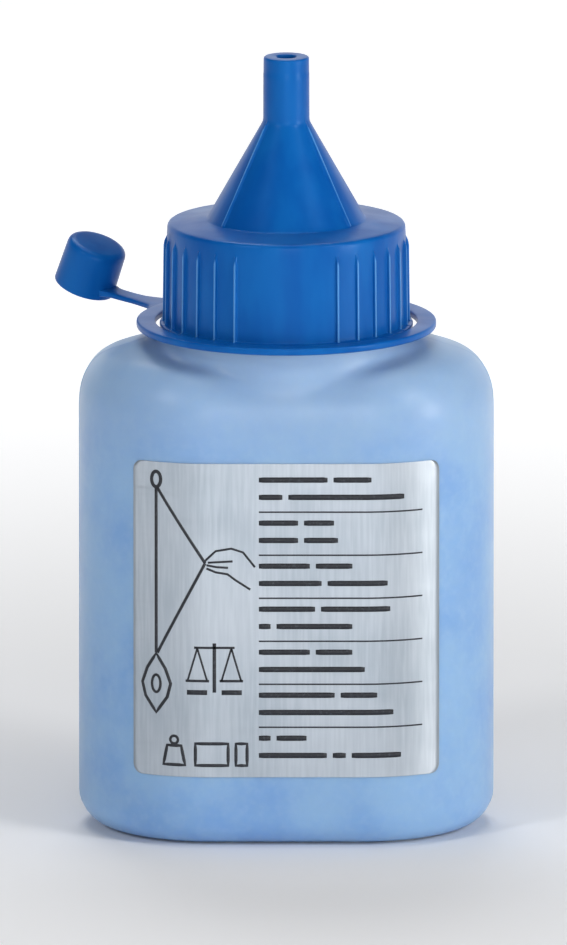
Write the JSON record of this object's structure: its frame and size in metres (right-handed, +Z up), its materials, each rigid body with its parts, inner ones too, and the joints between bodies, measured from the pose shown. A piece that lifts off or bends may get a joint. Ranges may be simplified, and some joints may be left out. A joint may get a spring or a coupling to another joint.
{
  "type": "chalk powder refill bottle",
  "caption": "Oval squeeze bottle of marking chalk powder with a screw cap that ends in a conical filling nozzle, and a tethered tip cap.",
  "frame": {"origin": "centre of the bottle's flat base, where it stands", "axes": "+Z up the neck and nozzle, +X across the wide labelled front to the right as its reader sees it, +Y from the labelled front to the back"},
  "size_m": [0.0672, 0.0504, 0.1195],
  "materials": {
    "bottle": "satin",
    "chalk_powder": "matte",
    "front_label": "satin",
    "seal_ring": "matte",
    "cap_plastic": "satin"
  },
  "bodies": {
    "bottle": {"bottle": "bottle", "chalk_powder": "chalk_powder", "front_label": "front_label"},
    "seal": {"seal_ring": "seal_ring"},
    "cap": {"screw_cap": "cap_plastic"},
    "tether_loop": {"tether_ring": "cap_plastic"},
    "strap": {"tether_strap": "cap_plastic"},
    "tip": {"tip_cap": "cap_plastic"}
  },
  "joints": [
    {"name": "cap_rise", "type": "slide", "parent": "bottle", "child": "seal", "axis": [0, 0, 1], "range_m": [0, 0.015]},
    {"name": "cap_turn", "type": "hinge", "parent": "seal", "child": "cap", "pos_m": [0, 0, 0.091], "axis": [0, 0, 1], "range_deg": [0, 1350]},
    {"name": "tether_lift", "type": "slide", "parent": "bottle", "child": "tether_loop", "axis": [0, 0, 1], "range_m": [0, 0.045]},
    {"name": "tether_swivel", "type": "hinge", "parent": "tether_loop", "child": "strap", "pos_m": [0, 0, 0.07795], "axis": [0, 0, 1], "continuous": true},
    {"name": "strap_flex", "type": "hinge", "parent": "strap", "child": "tip", "pos_m": [-0.02302, 0.01697, 0.0781], "axis": [0.5934, 0.8049, 0], "range_deg": [-20, 50], "stiffness_Nm_per_rad": 0.0035}
  ],
  "couplings": [
    {"joint": "cap_rise", "follows": "cap_turn", "m_per_rad": 0.00063661}
  ]
}
